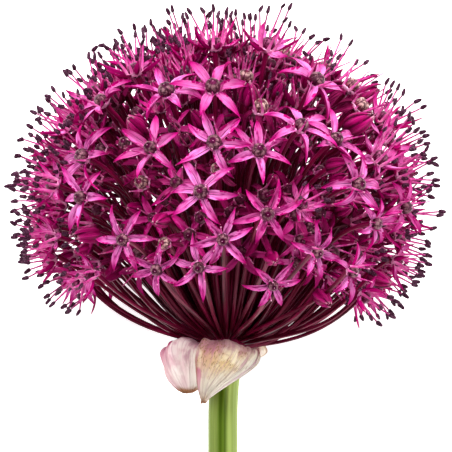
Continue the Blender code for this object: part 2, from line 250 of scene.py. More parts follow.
def under_layer(outer):
    """Shorter florets between the outer ones, deepest in front and not at the edge."""
    florets = []
    for k in range(UNDER_COUNT):
        direction = spiral_direction(k, UNDER_COUNT)
        to_front = max(0, -direction.y)
        if spacing(direction, outer) < UNDER_CLEARANCE * (1 + 0.5 * to_front):
            continue
        share = k * GOLDEN_FRACTION % 1
        edge = near_edge(direction)
        depth = UNDER_DEPTH + share * UNDER_SPREAD + to_front * DEEPER_IN_FRONT
        depth *= 1 - (0.7 - 0.12 * max(0, direction.z)) * edge
        kind = under_kind(k, share, edge, to_front)
        florets.append(Floret(len(outer) + len(florets), direction, depth, share * 60, kind, True))
    return florets


def facing(floret):
    """Outwards, but an open floret at the side looks more up or down."""
    direction = floret.direction
    if floret.kind != "open":
        return direction
    lift = LOOK_UP * abs(direction.x) * direction.z
    return (direction + UP * lift).normalized()


def reach_below(kind, axis_height):
    """How far a head reaches under the middle of its ovary, its axis pointing down."""
    level = sqrt(1 - axis_height * axis_height)
    if kind == "bud":
        return BUD_LENGTH / 2
    tepal_out, tepal_up = TEPAL_TIPS[kind]
    reach = tepal_out * level + (tepal_up - HUB_DROP) * -axis_height
    if kind == "open":
        lean = radians(STAMEN_LEAN)
        tip = STAMEN_LENGTH + ANTHER_LENGTH
        up = tip * cos(lean) - STAMEN_DROP
        out = STAMEN_OUT + tip * sin(lean)
        reach = max(reach, up * -axis_height + (out + FILAMENT_RADIUS) * level)
    return reach


def layer_radius(direction):
    """How far from the umbel's middle the outer layer stands in a direction."""
    right, up = direction.x, direction.z
    wider = SIDES_OUT * right**2 + UPPER_RIGHT_OUT * max(0, right) * max(0, up)
    flattened = TOP_FLATTENED * max(0, up) ** 3
    drawn_in = LOW_DRAWN_IN * max(0, -up - 0.25 - 0.08 * right)
    return LAYER_RADIUS * (1 + wider - flattened - drawn_in)


def stand(floret):
    """The middle of a floret's ovary and its axis, clear of the surface below."""
    axis = facing(floret)
    down = (LYING @ floret.direction).z
    radius = layer_radius(floret.direction) - floret.depth
    if down < 0:
        reach = reach_below(floret.kind, (LYING @ axis).z)
        radius = min(radius, (UMBEL_HEIGHT - SURFACE_GAP - reach) / -down)
    return floret.direction * radius, axis


def floret_frame(floret, centre, axis):
    """The matrix that carries a head, modelled along +Z, to its place."""
    east = UP.cross(axis).normalized()
    north = axis.cross(east)
    turn = Matrix.Rotation(radians(floret.turn), 3, "Z")
    turned = Matrix((east, north, axis)).transposed() @ turn
    return Matrix.Translation(centre) @ turned.to_4x4()


def dome_normal(direction):
    """The direction in which a floret's pedicel leaves the dome."""
    around = atan2(direction.x, -direction.y)
    share = (1 - direction.z) / (1 - lowest_height(around))
    to_right = sin(around)
    widest = radians(66 + to_right**4 * (22 + 4 * to_right))
    polar = acos(max(-1, 1 - share * (1 - cos(widest))))
    return round_stem(around, sin(polar), cos(polar))


def spathe_profile(angle, along):
    """The spathe's surface, from under the dome over its crest to its tips."""
    to_left = cos(angle + radians(80))
    to_front_left = max(0, cos(angle + radians(68))) ** 3
    crest_out = 15 + 4.2 * to_left
    profile = (
        (5.9, -1.9), (0.9 * crest_out, 1 + 7.5 * to_front_left),
        (1.15 * crest_out, 2.5 * max(0, to_left) - 4), (10.5 + 1.5 * to_left, -16.5),
    )
    radius, height = bezier([Vector(point) * MM for point in profile], along)
    return round_stem(angle, radius, height - ROOT_DROP)


@dataclass
class Lobe:
    """A lobe of the spathe: a piece of its surface, lifted a little."""

    middle: float  # degrees round the stem, from the front
    half_width: float  # degrees from its middle to its margins
    skew: float  # degrees that its tip lies aside
    start: float  # its foot and its tip, along the spathe's profile
    end: float
    lift: float
    fullness: float  # the greater, the blunter its tip
    crumpling: tuple  # how strongly it folds and crinkles, and its two edges stand out
    paper: tuple  # what papery() is told of it

    def point(self, across, along, relief):
        """A point of the lobe: across from -1 to 1, along from its foot to its tip."""
        taper = (1 - along**self.fullness) ** (1.4 / self.fullness)
        half = self.half_width * max(0.05, taper)
        angle = radians(self.middle + self.skew * along**2 + half * across)
        down = self.start + (self.end - self.start) * along
        step = 0.01
        place = spathe_profile(angle, down)
        forward = spathe_profile(angle, down + step) - place
        sideways = spathe_profile(angle + step, down) - place
        return place + forward.cross(sideways).normalized() * (self.lift + relief)


LOBES = {
    "spathe_left": Lobe(
        -60, 52, 11, 0, 0.915, 0, 2.8, (0.65, 1.8, 0, -0.6),
        ((222, 156, 174), (252, 228, 226), 0.15, 0.75, 0.9, (-0.26, 0.42)),
    ),
    "spathe_right": Lobe(
        20, 53, -48, 0.045, 0.96, 1.2 * MM, 1.6, (0.25, 0.7, 0.5, 0),
        ((236, 204, 148), (255, 242, 208), 0.8, 0.7, 0.2, (-0.96, 0.8)),
    ),
    "spathe_back": Lobe(
        166, 76, -6, 0, 0.55, 0, 2.4, (0.4, 1, 2.8, 0),
        ((236, 212, 176), (252, 240, 220), 0.2, 0.15, 0.1, (0.9, 0.3)),
    ),
}


# ---- materials

def light(colour):
    """A colour as light, from how it looks on a screen, 0 to 255."""
    def linear(value):
        value /= 255
        return value / 12.92 if value <= 0.04045 else ((value + 0.055) / 1.055) ** 2.4
    return (*map(linear, colour), 1)


GROWN = "grown"  # the attribute that says where on its organ a point lies
PINK_SHINE = (1, 0.12, 0.5, 1)
WINE_SHINE = (1, 0.3, 0.5, 1)
LEAF_SHINE = (0.85, 1, 0.5, 1)
MAUVE = (188, 116, 144)


class Finish:
    """A material with its nodes, and short ways to add and join them.

    Its colour starts with a ramp or a plain colour, and tints are laid over it.
    """

    def __init__(self, name, roughness, gloss=0.5, shine=(1, 1, 1, 1), colour=(0, 0, 0)):
        self.material = bpy.data.materials.new(name)
        self.material.use_nodes = True
        self.tree = self.material.node_tree
        self.surface = self.tree.nodes["Principled BSDF"].inputs
        self.surface["Roughness"].default_value = roughness
        self.surface["Specular IOR Level"].default_value = gloss
        self.surface["Specular Tint"].default_value = shine
        self.colour = light(colour)

    def feed(self, socket, value):
        """Links a value that is a socket, and sets one that is a number or colour."""
        if isinstance(value, bpy.types.NodeSocket):
            self.tree.links.new(value, socket)
        else:
            socket.default_value = value

    def node(self, kind, *values, **settings):
        """A new node with its settings, and with values for its first inputs."""
        made = self.tree.nodes.new("ShaderNode" + kind)
        for name, value in settings.items():
            setattr(made, name, value)
        for socket, value in zip(made.inputs, values):
            self.feed(socket, value)
        return made

    def math(self, operation, *values):
        return self.node("Math", *values, operation=operation).outputs[0]

    def times(self, first, *others):
        for other in others:
            first = self.math("MULTIPLY", first, other)
        return first

    def plus(self, first, second):
        return self.math("ADD", first, second)

    def smooth(self, value, low, high, to_low=0, to_high=1):
        """A smooth step from to_low at low to to_high at high."""
        numbers = (value, low, high, to_low, to_high)
        return self.node("MapRange", *numbers, interpolation_type="SMOOTHSTEP").outputs[0]

    def noise(self, place, scale, detail):
        return self.node("TexNoise", place, 0, scale, detail).outputs[0]

    @cached_property
    def place(self):
        return self.node("TexCoord").outputs["Object"]

    @cached_property
    def grown(self):
        """Where on its organ a point lies: across it, along it, and the organ's tone."""
        read = self.node("Attribute", attribute_name=GROWN).outputs["Vector"]
        return list(self.node("SeparateXYZ", read).outputs)

    def grain(self, scale, detail):
        """Noise that is as fine every way."""
        return self.noise(self.place, scale, detail)

    def streaks(self, fine, long):
        """Noise drawn out along the organ."""
        scaled = [self.times(value, by) for value, by in zip(self.grown, (fine, long, 40))]
        return self.noise(self.node("CombineXYZ", *scaled).outputs[0], 1, 3)

    def ramp(self, value, stops):
        """Starts the colour with stops of place: colour, as value goes from 0 to 1."""
        made = self.node("ValToRGB", value)
        elements = made.color_ramp.elements
        for place in list(stops)[2:]:
            elements.new(place)
        for element, (place, colour) in zip(elements, stops.items()):
            element.position = place
            element.color = light(colour)
        self.colour = made.outputs[0]

    def tint(self, colour, value, *step):
        """Lays a colour over the last by a share, or by a smooth step of a value."""
        share = self.smooth(value, *step) if step else value
        made = self.node("Mix", share, data_type="RGBA")
        self.feed(made.inputs[6], self.colour)
        self.feed(made.inputs[7], light(colour))
        self.colour = made.outputs[2]

    def done(self, height, distance):
        """The material, coloured, and bumped by a height."""
        made = self.node("Bump")
        self.feed(made.inputs["Height"], height)
        made.inputs["Distance"].default_value = distance
        self.feed(self.surface["Normal"], made.outputs[0])
        self.feed(self.surface["Base Color"], self.colour)
        return self.material


def tepal_face():
    """The inner face of a tepal: orchid pink, a fine dark line and deeper tips."""
    look = Finish("tepal_face", 0.42, 0.08, PINK_SHINE)
    across, along, tone = look.grown
    side = look.math("ABSOLUTE", across)
    streaks = look.streaks(9, 1.6)
    clouds = look.streaks(1.6, 3.4)
    look.ramp(along, {
        0: (160, 6, 104), 0.16: (218, 72, 168), 0.55: (222, 58, 164),
        0.85: (206, 14, 138), 0.96: (186, 2, 106), 1: (248, 176, 210),
    })
    # Pale lilac clouds that fade towards the tip: partly the tepal's own colour, partly a painted
    # sheen.
    lilac = look.smooth(clouds, 0.3, 0.62, 0.15, 0.95)
    look.tint((246, 146, 216), look.times(lilac, look.smooth(along, 0.4, 0.95, 1, 0)))
    look.tint((180, 10, 122), streaks, 0.5, 0.64, 0, 0.5)
    middle = look.smooth(side, 0.04, 0.1, 0.85, 0)
    beside = look.math("ABSOLUTE", look.math("SUBTRACT", side, 0.42))
    lines = look.math("MAXIMUM", middle, look.smooth(beside, 0.02, 0.08, 0.3, 0))
    fading = look.smooth(along, 0.3, 0.7, 1, 0)
    lines = look.times(lines, fading, look.smooth(streaks, 0.34, 0.56))
    look.tint((84, 0, 62), lines)
    foot = look.smooth(along, 0.08, 0.2, 1, 0)
    look.tint((96, 0, 76), look.times(foot, look.smooth(streaks, 0.42, 0.6)))
    look.tint((132, 2, 84), clouds, 0.46, 0.3, 0, 0.75)
    # Deeper and darker by tone: painted shade on the deep under florets, random among the outer
    # ones.
    look.tint((200, 6, 124), tone, 0.25, 0.6, 0, 0.8)
    look.tint((108, 0, 50), tone, 0.5, 1, 0, 0.85)
    return look.done(look.math("SUBTRACT", streaks, lines), 0.2 * MM)


def tepal_back():
    """The outer face of a tepal: deeper magenta with one dark midrib."""
    look = Finish("tepal_back", 0.46, 0.06, PINK_SHINE)
    across, along, tone = look.grown
    streaks = look.streaks(9, 1.6)
    look.ramp(along, {
        0: (110, 0, 56), 0.3: (186, 8, 114), 0.8: (208, 10, 126),
        0.97: (210, 40, 130), 1: (244, 170, 204),
    })
    look.tint((82, 0, 42), look.math("ABSOLUTE", across), 0.05, 0.35, 0.85, 0)
    look.tint((120, 0, 66), streaks, 0.4, 0.7, 0, 0.5)
    # Darker by tone: painted shade on the deep under florets, random among the outer ones.
    look.tint((80, 0, 30), tone, 0.35, 1, 0, 0.85)
    return look.done(streaks, 0.14 * MM)


def bud_face():
    """The outside of a bud: dark magenta, bright ridges, seams darkened with painted shade, and
    pale tips.
    """
    look = Finish("bud_face", 0.4, 0.25, PINK_SHINE)
    across, along, tone = look.grown
    side = look.math("ABSOLUTE", across)
    streaks = look.streaks(8, 1.4)
    look.ramp(along, {
        0: (66, 0, 30), 0.35: (120, 0, 64), 0.7: (176, 2, 100),
        0.9: (206, 36, 130), 1: (252, 196, 214),
    })
    ridge = look.times(
        look.smooth(side, 0, 0.5, 0.7, 0), look.smooth(along, 0.2, 0.5),
        look.smooth(streaks, 0.35, 0.6),
    )
    look.tint((224, 50, 148), ridge)
    look.tint((104, 0, 54), streaks, 0.44, 0.6, 0, 0.7)
    # Painted shade in the seams, where each tepal meets the next.
    look.tint((62, 0, 28), side, 0.6, 0.85, 0, 0.95)
    # Darker by tone: painted shade on the deep under florets, random among the outer ones.
    look.tint((80, 0, 34), tone, 0.5, 1, 0, 0.7)
    return look.done(streaks, 0.3 * MM)


def withered():
    """The folded, dried tepals of a spent floret."""
    look = Finish("withered_tepal", 0.55, 0.3, WINE_SHINE)
    streaks = look.streaks(7, 3)
    look.ramp(streaks, {0.28: (44, 0, 24), 0.5: (122, 0, 66), 0.75: (196, 40, 120)})
    return look.done(streaks, 0.3 * MM)


def ovary_skin(name, low, middle, top):
    """A grooved ovary: greyer and paler on top, the paler partly a painted highlight, with painted
    shade in its grooves, and darker in some florets.
    """
    look = Finish(name, 0.34, 0.3, PINK_SHINE)
    lobe, along, tone = look.grown
    grain = look.grain(1100, 4)
    # Greyer on top: partly the ovary's own colour, partly a painted highlight.
    look.ramp(along, {0: low, 0.45: middle, 0.72: top, 0.9: top, 1: middle})
    look.tint(low, grain, 0.4, 0.58, 0, 0.85)
    # Painted shade in the grooves between the lobes.
    look.tint((34, 0, 18), lobe, 0.06, 0.3, 0.9, 0)
    # Darker by tone: painted shade on the deep under florets, random among the outer ones.
    look.tint((60, 2, 30), tone, 0.2, 0.8, 0, 0.85)
    return look.done(grain, 0.15 * MM)


def filament_skin():
    """A filament: pale where it is broad, dark under its anther, pale at a bare tip."""
    look = Finish("filament", 0.4, 0.2, PINK_SHINE)
    _, along, tone = look.grown
    grain = look.grain(900, 2)
    look.ramp(along, {
        0: (246, 176, 214), 0.18: (232, 96, 176), 0.55: (206, 40, 140),
        0.85: (150, 20, 100), 0.93: (186, 40, 126), 1: (248, 184, 212),
    })
    # Darker by tone: painted shade on the deep under florets, random among the outer ones.
    look.tint((158, 2, 80), tone, 0.3, 1, 0, 0.7)
    look.tint((248, 180, 220), grain, 0.42, 0.7, 0, 0.35)
    return look.done(grain, 0.05 * MM)


def anther_skin():
    """A ripe anther: brown and maroon, dusted paler."""
    look = Finish("anther", 0.6, 0.15)
    grain = look.grain(2200, 3)
    look.ramp(grain, {0.34: (40, 4, 24), 0.52: (72, 26, 56), 0.75: (130, 84, 110)})
    return look.done(grain, 0.18 * MM)


def pedicel_skin():
    """A pedicel: dark maroon, browner and redder in long streaks."""
    look = Finish("pedicel", 0.32, 0.26, WINE_SHINE)
    _, along, tone = look.grown
    streaks = look.streaks(2.5, 5)
    look.ramp(streaks, {0.3: (48, 0, 12), 0.5: (86, 0, 32), 0.72: (136, 12, 62)})
    look.tint((128, 2, 66), along, 0.75, 1, 0, 0.6)
    look.tint((96, 14, 36), tone, 0.3, 0.6, 0, 0.4)
    return look.done(streaks, 0.15 * MM)


def stem_skin():
    """The stem: green with fine lengthwise ribs, and painted light that makes its sides paler, the
    right most.
    """
    look = Finish("stem_green", 0.42, 0.3, LEAF_SHINE)
    streaks = look.streaks(26, 2.2)
    look.ramp(streaks, {0.3: (60, 88, 2), 0.5: (78, 106, 6), 0.75: (112, 140, 34)})
    sideways = look.node("SeparateXYZ", look.place).outputs[0]
    right = look.math("SUBTRACT", sideways, UMBEL_ACROSS - STEM_SWAY)
    # Painted light: the stem's right side is paler, and its left a little less, as the side lamps
    # would light them.
    look.tint((184, 206, 110), right, 0.4 * MM, 1.8 * MM, 0, 0.85)
    look.tint((160, 178, 92), right, -0.8 * MM, -2.4 * MM, 0, 0.75)
    look.tint((76, 104, 4), look.streaks(4, 0.8), 0.45, 0.65, 0, 0.35)
    look.feed(look.surface["Roughness"], look.smooth(streaks, 0.3, 0.7, 0.34, 0.5))
    return look.done(streaks, 0.2 * MM)


def cut_face():
    """The cut end of the stem: pale pith with darker dots."""
    look = Finish("stem_cut", 0.6)
    grain = look.grain(1500, 3)
    look.ramp(grain, {0.35: (120, 140, 70), 0.55: (186, 198, 132), 0.8: (222, 226, 180)})
    return look.done(grain, 0.2 * MM)


def papery(name, body, pale, speckled, blush, flush, spot):
    """A dry lobe of the spathe: veined and creased, with painted shade and painted highlights
    along its creases, and a thin brown rim.

    It is palest at its right margin and its tip.  By the given shares it is speckled,
    blushed mauve above and flushed pink at its left, and it has one magenta spot at a
    place across and along it.
    """
    look = Finish(name, 0.62, 0.2, colour=body)
    across, along, _ = look.grown
    cloud = look.grain(210, 5)
    veins = look.streaks(26, 1.2)
    crease_relief_and_shading = look.streaks(6, 2.4)
    look.tint(pale, cloud, 0.38, 0.62)
    margin = look.times(look.smooth(across, 0, 0.8), look.smooth(along, 0.3, 0.6))
    look.tint((255, 250, 232), margin)
    look.tint(MAUVE, veins, 0.52, 0.66, 0, 0.4)
    # Painted mauve shade and pale painted highlights along the creases.
    look.tint(MAUVE, crease_relief_and_shading, 0.54, 0.66, 0, 0.6)
    look.tint((250, 238, 222), crease_relief_and_shading, 0.46, 0.3, 0, 0.4)
    look.tint(MAUVE, look.plus(along, look.times(cloud, 0.5)), 0.58, 0.78, blush, 0)
    left = look.plus(across, look.times(cloud, 0.3))
    look.tint((214, 128, 158), left, -0.6, -0.15, flush, 0)
    specks = look.smooth(look.streaks(34, 22), 0.54, 0.62, 0, speckled)
    look.tint((156, 118, 66), look.times(specks, look.smooth(cloud, 0.58, 0.42)))
    aside = look.math("DIVIDE", look.math("SUBTRACT", across, spot[0]), 0.2)
    down = look.math("DIVIDE", look.math("SUBTRACT", along, spot[1]), 0.12)
    squares = [look.math("POWER", value, 2) for value in (aside, down)]
    look.tint((204, 32, 118), look.plus(look.plus(*squares), cloud), 0.9, 1.7, 0.9, 0)
    look.tint((254, 240, 230), along, 0.55, 0.9, 0, 0.5)
    rim = look.smooth(look.math("ABSOLUTE", across), 0.93, 0.99)
    rim = look.times(rim, look.smooth(along, 0.5, 0.7, 0, 0.7))
    tip = look.smooth(look.plus(along, look.times(cloud, 0.12)), 0.99, 1.04)
    look.tint((172, 116, 78), look.math("MAXIMUM", rim, tip))
    look.feed(look.surface["Roughness"], look.smooth(veins, 0.4, 0.7, 0.55, 0.72))
    return look.done(look.plus(look.times(veins, 0.6), crease_relief_and_shading), 1.2 * MM)


FLOOR_GLOW = 0.8


def studio_floor():
    """A plain pale light table with a fine tooth."""
    look = Finish("studio_floor", 0.9, 0.1)
    look.ramp(look.grain(300, 2), {0: (250, 250, 250), 1: (255, 255, 255)})
    look.feed(look.surface["Base Color"], look.colour)
    look.surface["Emission Color"].default_value = (1, 1, 1, 1)
    look.surface["Emission Strength"].default_value = FLOOR_GLOW
    return look.material


def floret_materials():
    """The materials of a floret, by short names."""
    return {
        "face": tepal_face(),
        "back": tepal_back(),
        "bud": bud_face(),
        "withered": withered(),
        "ovary": ovary_skin("ovary", (48, 0, 26), (110, 6, 64), (150, 84, 116)),
        "old_ovary": ovary_skin("old_ovary", (36, 0, 20), (84, 12, 52), (150, 108, 116)),
        "seed_ovary": ovary_skin("seed_ovary", (60, 2, 30), (140, 44, 76), (226, 184, 176)),
        "filament": filament_skin(),
        "anther": anther_skin(),
        "pedicel": pedicel_skin(),
    }


# ---- shapes

MAP = "OFBake"  # the map that the colours are laid out on
CELL_INSET = 0.03


@dataclass
class Cell:
    """A rectangle of the map."""

    left: float = 0
    low: float = 0
    right: float = 1
    high: float = 1

    def at(self, across, along):
        wide, tall = self.right - self.left, self.high - self.low
        return self.left + wide * across, self.low + tall * along

    def part(self, left, low, right, high):
        """A part of the cell, in shares of it, drawn in a little from its edges."""
        wide, tall = (right - left) * CELL_INSET, (high - low) * CELL_INSET
        return Cell(*self.at(left + wide, low + tall), *self.at(right - wide, high - tall))

    def tile(self, index, columns, rows):
        """One of the cell's equal tiles."""
        row, column = divmod(index, columns)
        return self.part(column / columns, row / rows, (column + 1) / columns, (row + 1) / rows)


class Shape:
    """The vertices and faces of a piece as it grows."""

    def __init__(self):
        self.places = []
        self.grown = []  # where on its organ each vertex lies
        self.faces = []
        self.skins = []  # the name of each face's material
        self.corners = []  # each face corner's place on the map

    def add(self, face, skin, *corners):
        self.faces.append(face)
        self.skins.append(skin)
        self.corners.extend(corners)

    def loft(self, rings, across, along, tone, skins, cell):
        """A closed skin over rings of points, drawn to a point at each end.

        The rings run anticlockwise, seen from the far end.  across holds a value and
        skins a material for each point round them, and along a value for each ring.
        """
        first, around, rows = len(self.places), len(across), len(rings)
        for ring, share in zip(rings, along):
            self.places.extend(ring)
            self.grown.extend((aside, share, tone) for aside in across)
        end = len(self.places)
        for ring, share in ((rings[0], along[0]), (rings[-1], along[-1])):
            self.places.append(sum(ring, Vector()) / around)
            self.grown.append((sum(across) / around, share, tone))

        def at(column, level):
            return cell.at(column / around, level / (rows + 1))

        for i, skin in enumerate(skins):
            j = (i + 1) % around
            for low in range(1, rows):
                above = first + low * around
                face = (above - around + i, above - around + j, above + j, above + i)
                high = low + 1
                self.add(face, skin, at(i, low), at(i + 1, low), at(i + 1, high), at(i, high))
            foot = (end, first + j, first + i)
            self.add(foot, skin, at(i + 0.5, 0), at(i + 1, 1), at(i, 1))
            tip = (end + 1, end - around + i, end - around + j)
            self.add(tip, skin, at(i + 0.5, rows + 1), at(i, rows), at(i + 1, rows))

    def piece(self, name, materials, sharp=50):
        """The piece itself, smooth but for edges sharper than this angle in degrees."""
        mesh = bpy.data.meshes.new(name)
        mesh.from_pydata(self.places, [], self.faces)
        for material in materials.values():
            mesh.materials.append(material)
        slots = {skin: slot for slot, skin in enumerate(materials)}
        mesh.polygons.foreach_set("material_index", [slots[skin] for skin in self.skins])
        layer = mesh.uv_layers.new(name=MAP)
        layer.data.foreach_set("uv", [number for corner in self.corners for number in corner])
        marks = mesh.attributes.new(GROWN, "FLOAT_VECTOR", "POINT")
        marks.data.foreach_set("vector", [number for mark in self.grown for number in mark])
        mesh.shade_smooth()
        mesh.set_sharp_from_angle(angle=radians(sharp))
        return placed(name, mesh)


def placed(name, data):
    """A new object in the scene."""
    made = bpy.data.objects.new(name, data)
    SCENE.collection.objects.link(made)
    return made


def from_seam(sides):
    """How far each point of a ring lies round it from the side opposite its seam."""
    return [abs(2 * i / sides - 1) for i in range(sides)]


def tube_rings(points, radii, sides, lobed=False):
    """Rings round a path, round ones or with two lobes."""
    side, rings = None, []
    last = len(points) - 1
    for k, (point, radius) in enumerate(zip(points, radii)):
        ahead = (points[min(k + 1, last)] - points[max(k - 1, 0)]).normalized()
        side = ahead.orthogonal() if side is None else side - ahead * side.dot(ahead)
        side.normalize()
        up = ahead.cross(side)
        ring = []
        for angle in turns(sides):
            wide = radius * (0.82 + 0.22 * cos(2 * angle) if lobed else 1)
            ring.append(point + (side * cos(angle) + up * sin(angle)) * wide)
        rings.append(ring)
    return rings


# ---- florets

# Reach and lift of a tepal's middle line over the hub, as the points of a curve, its
# half width, and the materials of its two faces.
TEPALS = {
    "star": ([(0.9, 0.3), (4.2, 1.5), (7.8, 2), (11.1, 0.2)], 1.3, "face", "back"),
    "open": ([(0.9, 0.3), (3.9, 0.2), (6.9, 1.9), (8.9, 4.6)], 1.2, "face", "back"),
    "spent": ([(0.9, 0.2), (3.8, 0.6), (4.6, -2.6), (3.9, -6)], 0.95, "withered", "withered"),
    "bud": ([(0.5, -1.3), (3.5, -0.8), (3.1, 4), (0.4, 6.6)], 1.3, "bud", "bud"),
}
TEPAL_TOP = (1, 0.62, 0.3, 0, -0.3, -0.62, -1)  # points across, by the half width
TEPAL_UNDER = (-0.55, 0, 0.55)
TEPAL_THICKNESS = 0.24 * MM
TEPAL_WIDEST = 0.38  # how far along it is widest
TEPAL_LAYER = 0.18 * MM  # every other tepal stands this much higher

# Profiles of (radius, height, along): the ring in which the feet of tepals and
# filaments are joined, and what fills a bud.
HUB = [(0.5, -2.1, 0), (1.3, -1.8, 0.05), (2.05, -1.2, 0.1), (2.1, -0.7, 0), (1.5, -0.3, 0)]
BUD_HEART = [(0.5, -2.4, 0.2), (1.9, -1.6, 0.2), (2.4, 0.6, 0.3), (2, 2.8, 0.4), (0.6, 4.8, 0.5)]
BODY_SIDES = 12

OVARY_RADIUS, OVARY_RISE = 2.1 * MM, 2.2 * MM
PIT_DEPTH, PIT_RADIUS = 0.4 * MM, 0.7 * MM
STYLE_RADII = (0.22 * MM, 0.17 * MM, 0.13 * MM, 0.1 * MM)
ANTHER_RADIUS = 0.62 * MM
ANTHER_GIRTHS = (0.6, 1, 1, 0.9, 0.72, 0.36)  # by its radius, from foot to tip
THREAD_SIDES = 5


def tepal_width(t, kind):
    """The share of its greatest width that a tepal has at t along it."""
    if kind == "bud":
        return max(0.06, sin(pi * (0.12 + 0.86 * t)) ** 0.8)
    if t < TEPAL_WIDEST:
        return 0.42 + 0.58 * sin(pi / 2 * t / TEPAL_WIDEST)
    return cos(pi / 2 * ((t - TEPAL_WIDEST) / (1 - TEPAL_WIDEST)) ** 1.15)


def tepal_line(kind, rng):
    """The middle line of one tepal, bent and swept a little its own way."""
    restless = 0.3 if kind == "bud" else 1
    reach = 1 - restless * rng.uniform(-0.06, 0.2)
    droop = rng.gauss(0, 1.9) * restless
    sweep = rng.gauss(0, 1.5) * restless
    line = [Vector((out * reach, 0, up)) * MM for out, up in TEPALS[kind][0]]
    line[2] += Vector((0, sweep * 0.3, droop * 0.5)) * MM
    line[3] += Vector((0, sweep, droop)) * MM
    return line


def head_size(floret, rng):
    """The scale of a head, smaller low on the umbel."""
    if floret.under:
        return rng.uniform(0.72, 0.9)
    return within(0.91 + 0.3 * floret.direction.z, 0.85, 1.07) + rng.uniform(-0.1, 0.05)


